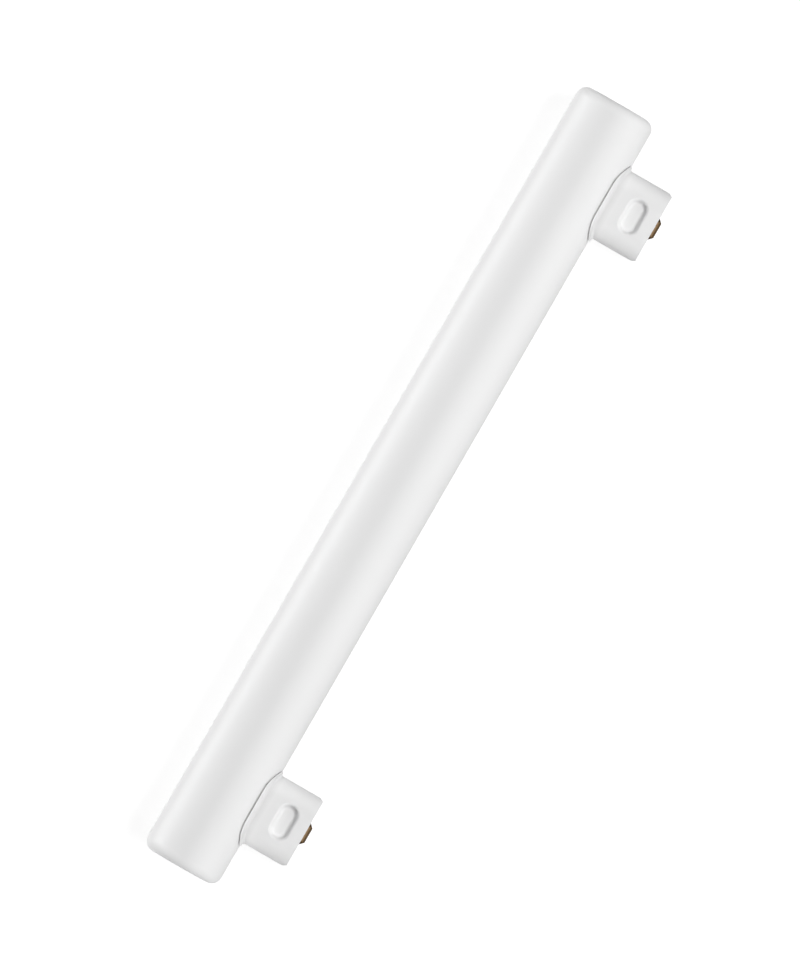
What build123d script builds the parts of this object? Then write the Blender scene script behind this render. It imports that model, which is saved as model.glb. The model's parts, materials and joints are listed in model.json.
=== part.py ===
from build123d import *
import os
from math import asin, atan2, cos, hypot, sin

# Linear lamp with two side caps. All sizes are in millimetres.
# X runs along the tube and Z points up. The lamp lies at rest, on the tube and on the lower edges
# of the caps' end faces, with the caps towards -Y. The origin is under the middle of its box.

# Opal tube
tube_length = 300.0
tube_diameter = 29.0
tube_end_radius = 3.8

# Caps: stadium-shaped cups that stand on the side of the tube
cap_setback = 31.0
cap_length = 26.5
cap_width = 14.0
cap_height = 17.1
cap_wall = 1.5
nose_chamfer_length = 1.35
nose_chamfer_depth = 0.8

# Saddle flange that joins each cap to the tube
flange_end_lap = 1.25
flange_side_lap = 2.4
flange_thickness = 0.2
flange_root_chamfer = 0.35
bond_gap = 0.25
saddle_slack = 2.2

# Dents in both long sides of a cap, where the springs of a holder snap in
dent_length = 13.1
dent_width = 7.0
dent_depth = 2.4
dent_slope = 62.0
dent_setback = 8.2
dent_mouth_chamfer = 0.35
dent_floor_chamfer = 0.4

# Lead-in ramps from the end face towards the dents
ramp_width = 10.6
ramp_length = 3.6
ramp_depth = 0.3

# Brass contacts: a raised crown on the end face and a solder tag through the end wall
contact_length = 8.3
contact_width = 5.0
contact_height = 1.4
contact_slope = 45.0
contact_edge_radius = 0.5
tag_width = 4.0
tag_thickness = 0.8
tag_tail = 5.0
tag_clearance = 0.05
eyelet_diameter = 1.6

tube_radius = tube_diameter / 2
cap_reach = tube_radius + cap_height
contact_reach = cap_reach + contact_height
flange_length = cap_length + 2 * flange_end_lap
flange_width = cap_width + 2 * flange_side_lap
saddle_radius = tube_radius + bond_gap + saddle_slack
cap_place = tube_length / 2 - cap_setback

# The caps droop until the lower edges of their end faces touch the surface under the tube.
droop = asin(tube_radius / hypot(cap_reach, cap_width / 2)) - atan2(cap_width / 2, cap_reach)


def level_reach(reach, half_width, edge_radius=0.0):
    """Level distance from the tube's axis to the front of a corner on a drooping cap."""
    return (reach - edge_radius) * cos(droop) + (half_width - edge_radius) * sin(droop) + edge_radius


front = max(
    level_reach(cap_reach, cap_width / 2),
    level_reach(contact_reach, contact_width / 2, contact_edge_radius),
)

# Frame of the lamp on the tube's axis: x along the tube, z the way the caps point.
lamp = Plane(
    origin=(0, (front - tube_radius) / 2, tube_radius),
    x_dir=(1, 0, 0),
    z_dir=(0, -cos(droop), -sin(droop)),
)

os.makedirs("parts", exist_ok=True)

with BuildPart() as opal_tube:
    with BuildSketch(Plane(lamp.origin, z_dir=lamp.x_dir)):
        Circle(tube_radius)
    extrude(amount=tube_length / 2, both=True)
    fillet(opal_tube.edges().filter_by(GeomType.CIRCLE), tube_end_radius)

opal_tube.part.label = "opal_tube"
export_step(opal_tube.part, "parts/opal_tube.step")

for side, direction in (("left", -1), ("right", 1)):
    # Planes on this cap's centre line: in plan, across the tube, from the side, and on the end face.
    plan = Plane(lamp.origin + lamp.x_dir * (direction * cap_place), lamp.x_dir, lamp.z_dir)
    section = Plane(plan.origin, plan.z_dir, plan.x_dir)
    side_view = Plane(plan.origin, plan.x_dir, -plan.y_dir)
    end_face = plan.offset(cap_reach)
    outwards = Axis(plan.origin, plan.z_dir)

    # The saddle is a little flatter than the tube, so its gap is narrowest on the cap's centre line.
    saddle = Plane(plan.origin - plan.z_dir * saddle_slack, plan.z_dir, plan.x_dir)

    # Planes through the dents, one for each long side, with y pointing out of the end face.
    dent_centre = plan.origin + plan.z_dir * (cap_reach - dent_setback)
    dent_planes = [Plane(dent_centre, plan.x_dir * -facing, plan.y_dir * facing) for facing in (-1, 1)]

    with BuildPart() as core:
        with BuildSketch(plan):
            SlotOverall(cap_length - 2 * cap_wall, cap_width - 2 * cap_wall)
        extrude(amount=cap_reach - cap_wall)
        # The wall steps inwards behind each dent and stays so up to the end wall.
        for dent_plane in dent_planes:
            with BuildSketch(dent_plane.offset(cap_width / 2 - cap_wall)):
                with Locations((0, -dent_width / 2 - cap_wall)):
                    Rectangle(
                        dent_length + 2 * cap_wall,
                        dent_width / 2 + dent_setback,
                        align=(Align.CENTER, Align.MIN),
                    )
            extrude(amount=-dent_depth, mode=Mode.SUBTRACT)

    with BuildPart() as flange:
        # An even layer over the saddle. Its plan is a stadium round the cap, cut square at both ends.
        with BuildSketch(plan):
            SlotOverall(cap_length + 2 * flange_side_lap, flange_width)
            Rectangle(flange_length, flange_width, mode=Mode.INTERSECT)
        extrude(amount=cap_reach)
        with BuildSketch(saddle):
            Circle(saddle_radius + flange_thickness)
        extrude(amount=flange_length, both=True, mode=Mode.INTERSECT)

    with BuildPart() as cap:
        # The dents go into the flat sides of a block, which is then rounded to the stadium outline.
        with BuildSketch(plan):
            Rectangle(flange_length, cap_width)
        extrude(amount=cap_reach)
        for dent_plane in dent_planes:
            long_side = dent_plane.offset(cap_width / 2)
            away = Axis(long_side.origin, long_side.z_dir)
            with BuildSketch(long_side):
                SlotOverall(dent_length, dent_width)
            extrude(amount=-dent_depth, taper=90 - dent_slope, mode=Mode.SUBTRACT)
            chamfer(cap.edges(Select.LAST).group_by(away)[0], dent_floor_chamfer)
            chamfer(cap.faces().sort_by(away)[-1].inner_wires().edges(), dent_mouth_chamfer)
        with BuildSketch(plan):
            SlotOverall(cap_length, cap_width)
        extrude(amount=cap_reach, mode=Mode.INTERSECT)

        # A slanted cut takes the corner off each end of the nose.
        for facing in (-1, 1):
            with BuildSketch(side_view):
                with BuildLine():
                    Polyline(
                        (facing * cap_length / 2, cap_reach - nose_chamfer_length),
                        (facing * cap_length / 2, cap_reach),
                        (facing * (cap_length / 2 - nose_chamfer_depth), cap_reach),
                        close=True,
                    )
                make_face()
            extrude(amount=cap_width / 2, both=True, mode=Mode.SUBTRACT)

        # Each ramp starts flush with the side and is deepest at the end face.
        for facing in (-1, 1):
            with BuildSketch(section):
                with BuildLine():
                    Polyline(
                        (cap_reach - ramp_length, facing * cap_width / 2),
                        (cap_reach, facing * cap_width / 2),
                        (cap_reach, facing * (cap_width / 2 - ramp_depth)),
                        close=True,
                    )
                make_face()
            extrude(amount=ramp_width / 2, both=True, mode=Mode.SUBTRACT)

        add(flange.part)
        rings = cap.faces().filter_by(GeomType.CYLINDER).filter_by(lambda face: face.inner_wires())
        chamfer(rings[0].inner_wires().edges(), flange_root_chamfer)

        add(core.part, mode=Mode.SUBTRACT)
        with BuildSketch(saddle):
            Circle(saddle_radius)
        extrude(amount=flange_length, both=True, mode=Mode.SUBTRACT)
        with BuildSketch(end_face):
            Rectangle(tag_width + 2 * tag_clearance, tag_thickness + 2 * tag_clearance)
        extrude(amount=-2 * cap_wall, mode=Mode.SUBTRACT)

    cap.part.label = f"{side}_cap"
    export_step(cap.part, f"parts/{side}_cap.step")

    with BuildPart() as contact:
        with BuildSketch(side_view):
            with Locations((0, cap_reach)):
                Trapezoid(contact_length, contact_height, contact_slope, align=(Align.CENTER, Align.MIN))
        extrude(amount=contact_width / 2, both=True)
        fillet(contact.faces().sort_by(outwards)[-1].edges(), contact_edge_radius)

        with BuildSketch(end_face):
            Rectangle(tag_width, tag_thickness)
        extrude(amount=-(cap_wall + tag_tail))
        eyelet_centre = end_face.origin - plan.z_dir * (cap_wall + tag_tail / 2)
        with BuildSketch(Plane(eyelet_centre, plan.x_dir, plan.y_dir)):
            Circle(eyelet_diameter / 2)
        extrude(amount=tag_thickness, both=True, mode=Mode.SUBTRACT)

    contact.part.label = f"{side}_contact"
    export_step(contact.part, f"parts/{side}_contact.step")
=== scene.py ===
import json
from math import cos, pi, radians, sin

import bpy
from mathutils import Matrix, Vector


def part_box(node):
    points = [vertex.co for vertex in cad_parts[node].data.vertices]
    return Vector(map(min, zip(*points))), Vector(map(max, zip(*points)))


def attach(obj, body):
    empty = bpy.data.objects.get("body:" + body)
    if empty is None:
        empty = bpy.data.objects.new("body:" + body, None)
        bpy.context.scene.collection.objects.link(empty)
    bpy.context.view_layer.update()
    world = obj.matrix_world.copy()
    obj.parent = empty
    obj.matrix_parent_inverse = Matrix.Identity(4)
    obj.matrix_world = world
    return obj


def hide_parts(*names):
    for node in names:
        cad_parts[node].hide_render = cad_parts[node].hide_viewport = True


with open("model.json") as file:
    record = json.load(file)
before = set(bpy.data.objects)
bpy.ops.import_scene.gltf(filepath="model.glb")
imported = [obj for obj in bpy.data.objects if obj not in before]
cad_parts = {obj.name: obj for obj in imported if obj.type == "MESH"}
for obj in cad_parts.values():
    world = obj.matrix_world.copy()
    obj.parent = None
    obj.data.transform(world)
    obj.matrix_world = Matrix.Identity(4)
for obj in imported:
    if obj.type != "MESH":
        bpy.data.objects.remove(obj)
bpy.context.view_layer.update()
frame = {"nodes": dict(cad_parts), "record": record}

# Meshes: lengths in metres, angles in degrees
tube_sides = 160
tube_end_radius = 0.0038
tube_end_steps = 10
tube_rings = 40
tube_end_inset = 0.0006
weld_distance = 1e-6
flat_angle = 0.4
soft_edge_angle = 15.0
crease_angle = 40.0
cap_edge_softness = 0.00018
contact_edge_softness = 0.00006
soft_edge_steps = 3

# Camera: the photograph is 972 pixels tall and shows the lamp on a slant, at about 2.93 pixels a millimetre
picture_height = 0.33142
tube_slant = 29.98
lens_length = 1000.0
sensor_size = 36.0
aim_along = -0.000075
aim_outwards = 0.00045

# Colours: a dark and a light shade, as red, green and blue
glass_shades = (0.797, 0.797, 0.797), (0.813, 0.813, 0.813)
plastic_shades = (0.822, 0.822, 0.822), (0.838, 0.838, 0.838)
# Painted shade in the concave foot of the caps, as two greys
painted_foot_shade_colours = (0.69, 0.69, 0.69), (0.71, 0.71, 0.71)
brass_shades = (0.44, 0.302, 0.175), (0.56, 0.39, 0.23)
# Painted dark reflection on the contacts' crown and ends, as brown shades
painted_reflection_shades = (0.06, 0.034, 0.012), (0.09, 0.053, 0.021)
white = 1.0, 1.0, 1.0, 1.0

# Patterns: cells a metre along each axis, and the amount of detail
glass_clouds = (9.0, 30.0, 30.0), 3.0
glass_lines = (3.0, 420.0, 420.0), 2.0
glass_grain = (2600.0, 2600.0, 2600.0), 2.0
plastic_flow = (160.0, 160.0, 160.0), 3.0
plastic_grain = (5200.0, 5200.0, 5200.0), 2.0
brass_stains = (420.0, 420.0, 420.0), 4.0
brass_brushing = (300.0, 9000.0, 9000.0), 2.0
noise_low = 0.3
noise_high = 0.7

# Surfaces: ranges of roughness, heights of bumps in metres, and gloss
glass_roughness = 0.53, 0.61
plastic_roughness = 0.46, 0.58
brass_roughness = 0.52, 0.66
glass_bump = 0.000003
plastic_bump = 0.000004
brass_bump = 0.000004
glass_gloss = 0.6
plastic_gloss = 0.25

# Foot of the caps: painted shade in the concave root, as distances behind the end face where it begins, is
# darkest and ends
painted_shade_start = 0.0196
painted_shade_middle = 0.018
painted_shade_end = 0.0154

# Contacts: reach of the painted dark reflection up the crown and along the strip, and of the patch on the
# crown where it is thinned, in metres
painted_reflection_rise = 0.0011
painted_reflection_ends = 0.0022, 0.0032
thinned_reflection_patch = 0.0005, 0.0025
thinned_patch_wobble = 0.0006
painted_reflection_left_in_patch = 0.3

# Studio
floor_size = 9.0
floor_shade = 0.35
floor_glow = 0.82
light_distance = 3.0

# Soft boxes: name, tilt, bearing, width, height, power in watts, and whether reflections show them
soft_boxes = (
    ("key_box", 30.0, 55.0, 0.9, 0.9, 47.0, False),
    ("front_box", 25.0, 98.0, 0.9, 0.9, 30.5, False),
    ("low_front_box", 70.0, 92.0, 0.9, 0.6, 15.0, True),
    ("back_box", 92.0, 270.0, 0.9, 0.9, 70.0, True),
    ("right_back_box", 60.0, 335.0, 0.9, 0.9, 13.0, True),
    ("left_back_box", 80.0, 225.0, 0.9, 0.9, 4.0, True),
    ("left_end_box", 87.0, 180.0, 0.9, 0.3, 29.0, False),
)

# Directions: along the tube, the way the caps point, and out of the caps' flat sides to the viewer
mounts = {mount["name"]: mount for mount in frame["record"]["mounts"]}
along = Vector((1, 0, 0))
outwards = Vector(mounts["left_cap_plug"]["axis"])
viewer = outwards.cross(along)

# Places on the lamp: the caps' end faces, the middle of a contact's crown without its signs, and the tube
end_face_reach = outwards.dot(Vector(mounts["left_cap_plug"]["pos_m"]))
crown_middle = Vector([abs(number) for number in mounts["left_contact_face"]["pos_m"]])
tube_low, tube_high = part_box("opal_tube")
tube_middle = (tube_low + tube_high) / 2


# Tools for modelling

def clear_selection(kind):
    """Makes the active piece select edges or faces, with none of them selected."""
    bpy.ops.object.mode_set(mode="EDIT")
    bpy.ops.mesh.select_mode(type=kind)
    bpy.ops.mesh.select_all(action="DESELECT")
    bpy.ops.object.mode_set(mode="OBJECT")


def pick_edges(piece, wanted):
    """Enters edit mode with only those edges selected whose two ends pass the test."""
    clear_selection("EDGE")
    points = piece.data.vertices
    for edge in piece.data.edges:
        first, second = edge.vertices
        edge.select = wanted(points[first].co, points[second].co)
    bpy.ops.object.mode_set(mode="EDIT")


def pick_faces(piece, wanted):
    """Enters edit mode with only those faces selected that pass the test."""
    clear_selection("FACE")
    for face in piece.data.polygons:
        face.select = wanted(face)
    bpy.ops.object.mode_set(mode="EDIT")


def settle_shading(piece):
    """Smooth shading that keeps flat faces flat."""
    bpy.ops.object.shade_smooth_by_angle(angle=radians(crease_angle))
    bpy.ops.object.modifier_add(type="WEIGHTED_NORMAL")
    weighting = piece.modifiers[-1]
    weighting.keep_sharp = True
    bpy.ops.object.modifier_apply(modifier=weighting.name)


def finish_piece(piece, node, material):
    """Dresses a piece and puts it in the place of its solid."""
    piece.data.materials.clear()
    piece.data.materials.append(material)
    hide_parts(node)
    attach(piece, "root")


# Pieces

def model_opal_tube():
    """A straight glass tube with flat ends and rounded rims."""
    length = tube_high.x - tube_low.x
    bpy.ops.object.select_all(action="DESELECT")
    bpy.ops.mesh.primitive_cylinder_add(
        vertices=tube_sides,
        radius=(tube_high.z - tube_low.z) / 2,
        depth=length,
        location=tube_middle,
        rotation=(0, pi / 2, 0),
    )
    tube = bpy.context.object
    tube.name = "opal_glass_tube"
    bpy.ops.object.transform_apply(location=True, rotation=True, scale=True)

    # Rings along the tube
    pick_edges(tube, lambda first, second: abs(first.x - second.x) > length / 2)
    bpy.ops.mesh.subdivide(number_cuts=tube_rings)

    # Rounded rims and inset flat ends
    rim_place = length / 2 - weld_distance
    pick_edges(tube, lambda first, second: min(abs(first.x), abs(second.x)) > rim_place)
    bpy.ops.mesh.bevel(offset=tube_end_radius, segments=tube_end_steps, affect="EDGES")
    pick_faces(tube, lambda face: abs(face.normal.x) > cos(radians(flat_angle)))
    bpy.ops.mesh.inset(thickness=tube_end_inset, use_individual=True)
    bpy.ops.object.mode_set(mode="OBJECT")
    settle_shading(tube)
    return tube


def copy_solid(node, name, softness):
    """A piece with the shape of a solid, whose sharp edges are rounded a little."""
    piece = bpy.data.objects.new(name, frame["nodes"][node].data.copy())
    bpy.context.collection.objects.link(piece)
    bpy.ops.object.select_all(action="DESELECT")
    piece.select_set(True)
    bpy.context.view_layer.objects.active = piece

    # The loose triangles are merged, and flat faces made whole.
    bpy.ops.mesh.customdata_custom_splitnormals_clear()
    bpy.ops.object.mode_set(mode="EDIT")
    bpy.ops.mesh.select_all(action="SELECT")
    bpy.ops.mesh.remove_doubles(threshold=weld_distance)
    bpy.ops.mesh.dissolve_limited(angle_limit=radians(flat_angle))
    bpy.ops.object.mode_set(mode="OBJECT")

    bpy.ops.object.modifier_add(type="BEVEL")
    rounding = piece.modifiers[-1]
    rounding.limit_method = "ANGLE"
    rounding.angle_limit = radians(soft_edge_angle)
    rounding.width = softness
    rounding.segments = soft_edge_steps
    bpy.ops.object.modifier_apply(modifier=rounding.name)
    settle_shading(piece)
    return piece


# Tools for finishes

def new_finish(name):
    """A material, its node tree and its shader."""
    material = bpy.data.materials.new(name)
    material.use_nodes = True
    tree = material.node_tree
    return material, tree, tree.nodes["Principled BSDF"]


def fill(tree, node, inputs):
    """Joins each input of a node to a socket, or sets it to a plain value."""
    for key, value in inputs.items():
        if isinstance(value, bpy.types.NodeSocket):
            tree.links.new(value, node.inputs[key])
        else:
            node.inputs[key].default_value = value


def add_node(tree, kind, inputs):
    """A new node with its inputs filled."""
    node = tree.nodes.new(kind)
    fill(tree, node, inputs)
    return node


def own_place(tree):
    """Where a point lies in its piece's own coordinates."""
    return tree.nodes.new("ShaderNodeTexCoord").outputs["Object"]


def noise(tree, place, stretch, detail):
    """A noise pattern: stretch is its number of cells a metre along each axis."""
    mapping = add_node(tree, "ShaderNodeMapping", {"Vector": place, "Scale": stretch})
    stretched = mapping.outputs["Vector"]
    pattern = add_node(tree, "ShaderNodeTexNoise", {"Vector": stretched, "Scale": 1.0, "Detail": detail})
    return pattern.outputs["Fac"]


def spread(tree, source, low, high, start=noise_low, end=noise_high):
    """Turns the values from start to end into values from low to high."""
    ranges = {"From Min": start, "From Max": end, "To Min": low, "To Max": high}
    return add_node(tree, "ShaderNodeMapRange", {"Value": source, **ranges}).outputs["Result"]


def calculate(tree, operation, *values):
    """The result of an operation on one or two values."""
    result = add_node(tree, "ShaderNodeMath", dict(enumerate(values)))
    result.operation = operation
    return result.outputs["Value"]


def measure(tree, operation, place, target):
    """The result of an operation on a place and a target, as one number."""
    result = add_node(tree, "ShaderNodeVectorMath", {0: place, 1: target})
    result.operation = operation
    return result.outputs["Value"]


def without_signs(tree, place):
    """A place with all its numbers made positive, so that both halves of the lamp are alike."""
    result = add_node(tree, "ShaderNodeVectorMath", {0: place})
    result.operation = "ABSOLUTE"
    return result.outputs["Vector"]


def shades(tree, source, dark, light):
    """Turns the middle of a noise pattern into colours from dark to light."""
    ramp = add_node(tree, "ShaderNodeValToRGB", {"Fac": source})
    first, last = ramp.color_ramp.elements
    first.position = noise_low
    first.color = (*dark, 1.0)
    last.position = noise_high
    last.color = (*light, 1.0)
    return ramp.outputs["Color"]


def mix(tree, share, first, second):
    """A mix of two colours, with that share of the second."""
    blend = add_node(tree, "ShaderNodeMixRGB", {"Fac": share, "Color1": first, "Color2": second})
    return blend.outputs["Color"]


def relief(tree, source, height):
    """A bump of that height in metres."""
    bump = add_node(tree, "ShaderNodeBump", {"Height": source, "Distance": height, "Strength": 1.0})
    return bump.outputs["Normal"]


# Finishes

def opal_glass():
    """Satin white glass: a faintly cloudy coat, with long drawing lines along the tube."""
    material, tree, shader = new_finish("opal_glass")
    place = own_place(tree)
    clouds = noise(tree, place, *glass_clouds)
    lines = noise(tree, place, *glass_lines)
    grain = noise(tree, place, *glass_grain)
    fill(tree, shader, {
        "Base Color": shades(tree, clouds, *glass_shades),
        "Roughness": spread(tree, grain, *glass_roughness),
        "Normal": relief(tree, lines, glass_bump),
        "Specular IOR Level": glass_gloss,
    })
    return material


def white_plastic():
    """Moulded plastic with a fine satin grain and faint flow shades, and painted shade at the foot, where
    the cap's wall meets its flange.
    """
    material, tree, shader = new_finish("white_plastic")
    place = own_place(tree)
    flow = noise(tree, place, *plastic_flow)
    grain = noise(tree, place, *plastic_grain)

    # Painted shade: the concave foot is a soft darker band across the cap, where shade falls in the root.
    reach = measure(tree, "DOT_PRODUCT", place, outwards)
    painted_shade_start_reach = end_face_reach - painted_shade_start
    painted_shade_middle_reach = end_face_reach - painted_shade_middle
    painted_shade_end_reach = end_face_reach - painted_shade_end
    nearing = spread(tree, reach, 0.0, 1.0, painted_shade_start_reach, painted_shade_middle_reach)
    leaving = spread(tree, reach, 1.0, 0.0, painted_shade_middle_reach, painted_shade_end_reach)
    painted_foot_shade = calculate(tree, "MULTIPLY", nearing, leaving)

    body_colour = shades(tree, flow, *plastic_shades)
    painted_shade_colour = shades(tree, flow, *painted_foot_shade_colours)
    fill(tree, shader, {
        "Base Color": mix(tree, painted_foot_shade, body_colour, painted_shade_colour),
        "Roughness": spread(tree, grain, *plastic_roughness),
        "Normal": relief(tree, grain, plastic_bump),
        "Specular IOR Level": plastic_gloss,
    })
    return material


def contact_brass():
    """Dull pressed brass, brushed along the strip, with a painted dark brown reflection round a lighter
    patch on the crown.
    """
    material, tree, shader = new_finish("contact_brass")
    place = own_place(tree)
    stains = noise(tree, place, *brass_stains)
    brushing = noise(tree, place, *brass_brushing)

    # Painted dark reflection: it grows from the cap to the crown, and towards both ends of the strip.
    reach = measure(tree, "DOT_PRODUCT", place, outwards)
    rise = spread(tree, reach, 0.0, 1.0, end_face_reach, end_face_reach + painted_reflection_rise)
    folded = without_signs(tree, place)
    along_lamp = add_node(tree, "ShaderNodeSeparateXYZ", {"Vector": folded}).outputs["X"]
    from_crown = calculate(tree, "SUBTRACT", along_lamp, crown_middle.x)
    ends = spread(tree, calculate(tree, "ABSOLUTE", from_crown), 0.0, 1.0, *painted_reflection_ends)
    painted_reflection = calculate(tree, "MAXIMUM", rise, ends)

    # The painted dark reflection is thinned to a share of itself in a patch in the middle of the crown.
    distance = measure(tree, "DISTANCE", folded, crown_middle)
    wobble = spread(tree, stains, -thinned_patch_wobble, thinned_patch_wobble)
    patch_distance = calculate(tree, "ADD", distance, wobble)
    outside_thinned_patch = spread(tree, patch_distance, painted_reflection_left_in_patch, 1.0, *thinned_reflection_patch)
    painted_reflection_left = calculate(tree, "MULTIPLY", painted_reflection, outside_thinned_patch)

    brass_colour = shades(tree, stains, *brass_shades)
    painted_reflection_colour = shades(tree, stains, *painted_reflection_shades)
    fill(tree, shader, {
        "Base Color": mix(tree, painted_reflection_left, brass_colour, painted_reflection_colour),
        "Roughness": spread(tree, brushing, *brass_roughness),
        "Normal": relief(tree, brushing, brass_bump),
        "Metallic": 1.0,
    })
    return material


# Studio

def seen_directly(tree):
    """One for camera, glossy and transmission rays, zero for the light that falls on the object."""
    rays = tree.nodes.new("ShaderNodeLightPath").outputs
    seen_or_mirrored = calculate(tree, "MAXIMUM", rays["Is Camera Ray"], rays["Is Glossy Ray"])
    return calculate(tree, "MAXIMUM", seen_or_mirrored, rays["Is Transmission Ray"])


def lay_floor():
    """A pale floor that looks white and keeps a faint shadow."""
    bpy.ops.object.select_all(action="DESELECT")
    bpy.ops.mesh.primitive_plane_add(size=floor_size)
    floor = bpy.context.object
    floor.name = "studio_floor"
    material, tree, shader = new_finish("studio_floor")
    fill(tree, shader, {
        "Base Color": (floor_shade, floor_shade, floor_shade, 1.0),
        "Roughness": 1.0,
        "Specular IOR Level": 0.0,
        "Emission Color": white,
        "Emission Strength": calculate(tree, "MULTIPLY", seen_directly(tree), floor_glow),
    })
    floor.data.materials.append(material)


def set_world():
    """White where it is seen, with no light on the object."""
    world = bpy.data.worlds.new("studio_world")
    world.use_nodes = True
    tree = world.node_tree
    fill(tree, tree.nodes["Background"], {"Color": white, "Strength": seen_directly(tree)})
    bpy.context.scene.world = world


def hang_light(name, tilt, bearing, width, height, power, mirrored):
    """A soft box that faces the lamp. Tilt is from the viewer; bearing turns from along to outwards."""
    lean = radians(tilt)
    turn = radians(bearing)
    direction = viewer * cos(lean) + (along * cos(turn) + outwards * sin(turn)) * sin(lean)
    data = bpy.data.lights.new(name, "AREA")
    data.shape = "RECTANGLE"
    data.size = width
    data.size_y = height
    data.energy = power
    box = bpy.data.objects.new(name, data)
    bpy.context.collection.objects.link(box)
    box.location = tube_middle + direction * light_distance
    box.rotation_mode = "QUATERNION"
    box.rotation_quaternion = (-direction).to_track_quat("-Z", "Y")
    box.visible_camera = False
    box.visible_glossy = mirrored


def set_camera():
    """A long lens that looks square at the flat sides of the caps, with the tube on its slant."""
    slant = radians(tube_slant)
    right = along * sin(slant) + outwards * cos(slant)
    up = along * cos(slant) - outwards * sin(slant)
    data = bpy.data.cameras.new("camera")
    data.lens = lens_length
    data.sensor_width = sensor_size
    camera = bpy.data.objects.new("camera", data)
    bpy.context.collection.objects.link(camera)
    turn = Matrix((right, up, viewer)).transposed().to_4x4()
    distance = picture_height * lens_length / sensor_size
    aim = tube_middle + along * aim_along + outwards * aim_outwards
    camera.matrix_world = Matrix.Translation(aim + viewer * distance) @ turn
    bpy.context.scene.camera = camera


bpy.context.scene.view_settings.view_transform = "Standard"
finish_piece(model_opal_tube(), "opal_tube", opal_glass())
plastic = white_plastic()
brass = contact_brass()
for side in ("left", "right"):
    cap = copy_solid(f"{side}_cap", f"{side}_cap_moulding", cap_edge_softness)
    finish_piece(cap, f"{side}_cap", plastic)
    contact = copy_solid(f"{side}_contact", f"{side}_contact_strip", contact_edge_softness)
    finish_piece(contact, f"{side}_contact", brass)

lay_floor()
set_world()
for soft_box in soft_boxes:
    hang_light(*soft_box)
set_camera()
